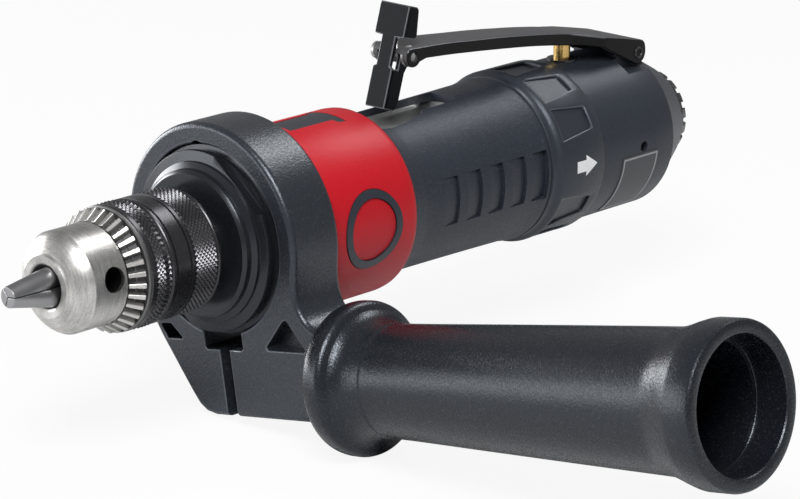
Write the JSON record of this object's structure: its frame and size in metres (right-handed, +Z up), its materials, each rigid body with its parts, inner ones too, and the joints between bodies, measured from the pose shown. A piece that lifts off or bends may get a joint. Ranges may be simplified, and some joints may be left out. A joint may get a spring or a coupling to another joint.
{
  "type": "air drill",
  "caption": "Straight pneumatic drill with key chuck, throttle lever with lock-off latch, turning exhaust ring and a clamp-on side handle.",
  "frame": {"origin": "centre of the chuck's front face, on the spindle axis", "axes": "+X is the drilling direction, +Z is up toward the throttle lever, +Y is the side the side handle points to"},
  "size_m": [0.2587, 0.2093, 0.1034],
  "materials": {
    "steel_bright": "ground",
    "steel_dark": "black oxide",
    "steel_gear": "hardened",
    "iron": "ground",
    "case_black": "black coated, satin",
    "aluminium": "machined",
    "red_plastic": "satin",
    "dark_plastic": "fine grain",
    "grip_rubber": "soft grain",
    "handle_plastic": "soft gloss",
    "seal_rubber": "black",
    "felt": "felt",
    "brass": "turned",
    "vane": "laminate",
    "label": "blank sticker"
  },
  "bodies": {
    "housing": {"gear_case": "case_black", "cover_band": "red_plastic", "badge": "dark_plastic", "cover_panel": "dark_plastic", "ring_gear": "steel_gear", "spindle_bearing_outer": "steel_gear", "bearing_spacer": "steel_gear", "motor_cylinder": "iron", "front_plate": "iron", "rear_plate": "iron", "rotor_bearing_outer": "steel_gear", "motor_dowel": "steel_bright", "motor_housing": "aluminium", "grip_sleeve": "grip_rubber", "muffler": "felt", "ring_seal": "seal_rubber", "rear_housing": "case_black", "lever_pin": "steel_bright", "pin_bushing": "brass", "valve_seat": "brass", "valve_spring": "steel_bright", "valve_plug": "steel_bright", "plug_seal": "seal_rubber", "inlet_bushing": "steel_dark", "inlet_screen": "steel_bright", "label_plate": "label", "stop_pin": "steel_bright"},
    "spindle_set": {"spindle": "steel_bright", "planet_pins": "steel_bright", "spindle_bearing_inner": "steel_gear", "chuck_body": "steel_bright", "chuck_screw": "steel_dark"},
    "sleeve": {"chuck_sleeve": "steel_dark", "chuck_nut": "steel_gear"},
    "jaw_1": {"chuck_jaw_1": "steel_bright"},
    "jaw_2": {"chuck_jaw_2": "steel_bright"},
    "jaw_3": {"chuck_jaw_3": "steel_bright"},
    "planet_1": {"planet_gear_1": "steel_gear"},
    "planet_2": {"planet_gear_2": "steel_gear"},
    "planet_3": {"planet_gear_3": "steel_gear"},
    "rotor_set": {"rotor": "steel_gear", "rotor_vanes": "vane", "rotor_bearing_inner": "steel_gear"},
    "ring": {"exhaust_ring": "dark_plastic"},
    "lever": {"throttle_lever": "steel_dark", "latch_pin": "steel_bright", "latch_spring": "steel_bright"},
    "latch_body": {"latch": "steel_dark"},
    "valve": {"throttle_pin": "brass", "valve_poppet": "steel_gear"},
    "clamp": {"bracket": "dark_plastic", "clamp_stud": "steel_bright"},
    "handle_slider": {"handle_washer": "steel_bright"},
    "handle": {"handle_grip": "handle_plastic"}
  },
  "joints": [
    {"name": "spindle_spin", "type": "hinge", "parent": "housing", "child": "spindle_set", "pos_m": [0, 0, 0], "axis": [1, 0, 0], "continuous": true},
    {"name": "rotor_spin", "type": "hinge", "parent": "housing", "child": "rotor_set", "pos_m": [-0.136, 0, 0], "axis": [1, 0, 0], "continuous": true},
    {"name": "sleeve_turn", "type": "hinge", "parent": "spindle_set", "child": "sleeve", "pos_m": [-0.03, 0, 0], "axis": [1, 0, 0], "range_deg": [0, 4500.98]},
    {"name": "planet_1_spin", "type": "hinge", "parent": "spindle_set", "child": "planet_1", "pos_m": [-0.0974, 0, -0.009], "axis": [1, 0, 0], "continuous": true},
    {"name": "planet_2_spin", "type": "hinge", "parent": "spindle_set", "child": "planet_2", "pos_m": [-0.0974, 0.00779, 0.0045], "axis": [1, 0, 0], "continuous": true},
    {"name": "planet_3_spin", "type": "hinge", "parent": "spindle_set", "child": "planet_3", "pos_m": [-0.0974, -0.00779, 0.0045], "axis": [1, 0, 0], "continuous": true},
    {"name": "jaw_1_slide", "type": "slide", "parent": "spindle_set", "child": "jaw_1", "axis": [-0.9744, 0.0817, 0.2096], "range_m": [0, 0.02001]},
    {"name": "jaw_2_slide", "type": "slide", "parent": "spindle_set", "child": "jaw_2", "axis": [-0.9744, -0.2224, -0.034], "range_m": [0, 0.02001]},
    {"name": "jaw_3_slide", "type": "slide", "parent": "spindle_set", "child": "jaw_3", "axis": [-0.9744, 0.1406, -0.1756], "range_m": [0, 0.02001]},
    {"name": "lever_squeeze", "type": "hinge", "parent": "housing", "child": "lever", "pos_m": [-0.22585, 0, 0.0238], "axis": [0, 1, 0], "range_deg": [0, 3], "stiffness_Nm_per_rad": 4, "springref_deg": -5.73},
    {"name": "latch_fold", "type": "hinge", "parent": "lever", "child": "latch_body", "pos_m": [-0.13215, 0, 0.0382], "axis": [0, 1, 0], "range_deg": [0, 84.1], "deforming": ["latch_spring"]},
    {"name": "throttle_press", "type": "slide", "parent": "housing", "child": "valve", "axis": [0, 0, -1], "range_m": [0, 0.0013], "deforming": ["valve_spring"]},
    {"name": "ring_turn", "type": "hinge", "parent": "housing", "child": "ring", "pos_m": [-0.18265, 0, 0], "axis": [1, 0, 0], "continuous": true},
    {"name": "bracket_swivel", "type": "hinge", "parent": "housing", "child": "clamp", "pos_m": [-0.06725, 0, 0], "axis": [1, 0, 0], "continuous": true},
    {"name": "handle_turn", "type": "hinge", "parent": "handle_slider", "child": "handle", "pos_m": [-0.06725, 0.0657, -0.0271], "axis": [0, 0.9848, 0.1736], "range_deg": [0, 1440]},
    {"name": "handle_travel", "type": "slide", "parent": "clamp", "child": "handle_slider", "axis": [0, 0.9848, 0.1736], "range_m": [0, 0.00501]}
  ],
  "couplings": [
    {"joint": "rotor_spin", "follows": "spindle_spin", "ratio": 6.6667},
    {"joint": "planet_1_spin", "follows": "spindle_spin", "ratio": -2.4286},
    {"joint": "planet_2_spin", "follows": "spindle_spin", "ratio": -2.4286},
    {"joint": "planet_3_spin", "follows": "spindle_spin", "ratio": -2.4286},
    {"joint": "jaw_1_slide", "follows": "sleeve_turn", "m_per_rad": 0.00025465},
    {"joint": "jaw_2_slide", "follows": "sleeve_turn", "m_per_rad": 0.00025465},
    {"joint": "jaw_3_slide", "follows": "sleeve_turn", "m_per_rad": 0.00025465},
    {"joint": "latch_fold", "follows": "lever_squeeze", "ratio": 28},
    {"joint": "throttle_press", "follows": "lever_squeeze", "m_per_rad": 0.0228},
    {"joint": "handle_travel", "follows": "handle_turn", "m_per_rad": 0.00019894}
  ]
}
